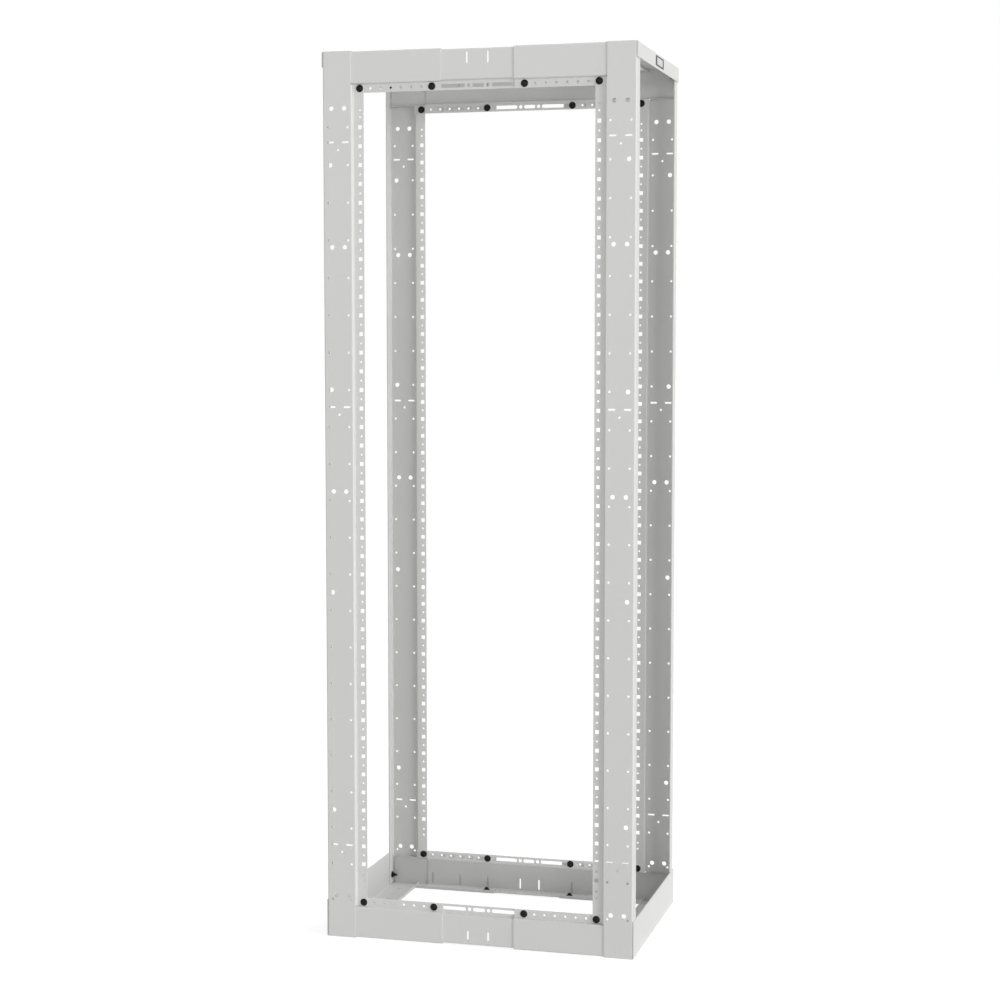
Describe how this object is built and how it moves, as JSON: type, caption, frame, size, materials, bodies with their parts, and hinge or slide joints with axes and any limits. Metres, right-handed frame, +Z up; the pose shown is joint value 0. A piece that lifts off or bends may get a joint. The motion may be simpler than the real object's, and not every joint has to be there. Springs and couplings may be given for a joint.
{
  "type": "four post open frame rack",
  "caption": "Open rack of folded sheet steel: corner posts with square-hole rails, telescoping crossbars at front and rear, and side beams that join front to rear at top and bottom.",
  "frame": {"origin": "centre of the footprint at floor level", "axes": "+Z up; +X to the right seen from the front; the front of the rack faces -Y"},
  "size_m": [0.765, 0.513, 2.1378],
  "materials": {
    "powder_coat": "white satin powder coat"
  },
  "bodies": {
    "root": {"front_left_post": "powder_coat", "front_right_post": "powder_coat", "rear_left_post": "powder_coat", "rear_right_post": "powder_coat", "front_bottom_middle_bar": "powder_coat", "front_bottom_left_sleeve": "powder_coat", "front_bottom_right_sleeve": "powder_coat", "front_top_middle_bar": "powder_coat", "front_top_left_sleeve": "powder_coat", "front_top_right_sleeve": "powder_coat", "rear_bottom_middle_bar": "powder_coat", "rear_bottom_left_sleeve": "powder_coat", "rear_bottom_right_sleeve": "powder_coat", "rear_top_middle_bar": "powder_coat", "rear_top_left_sleeve": "powder_coat", "rear_top_right_sleeve": "powder_coat", "left_bottom_side_beam": "powder_coat", "left_top_side_beam": "powder_coat", "right_bottom_side_beam": "powder_coat", "right_top_side_beam": "powder_coat"}
  },
  "joints": []
}
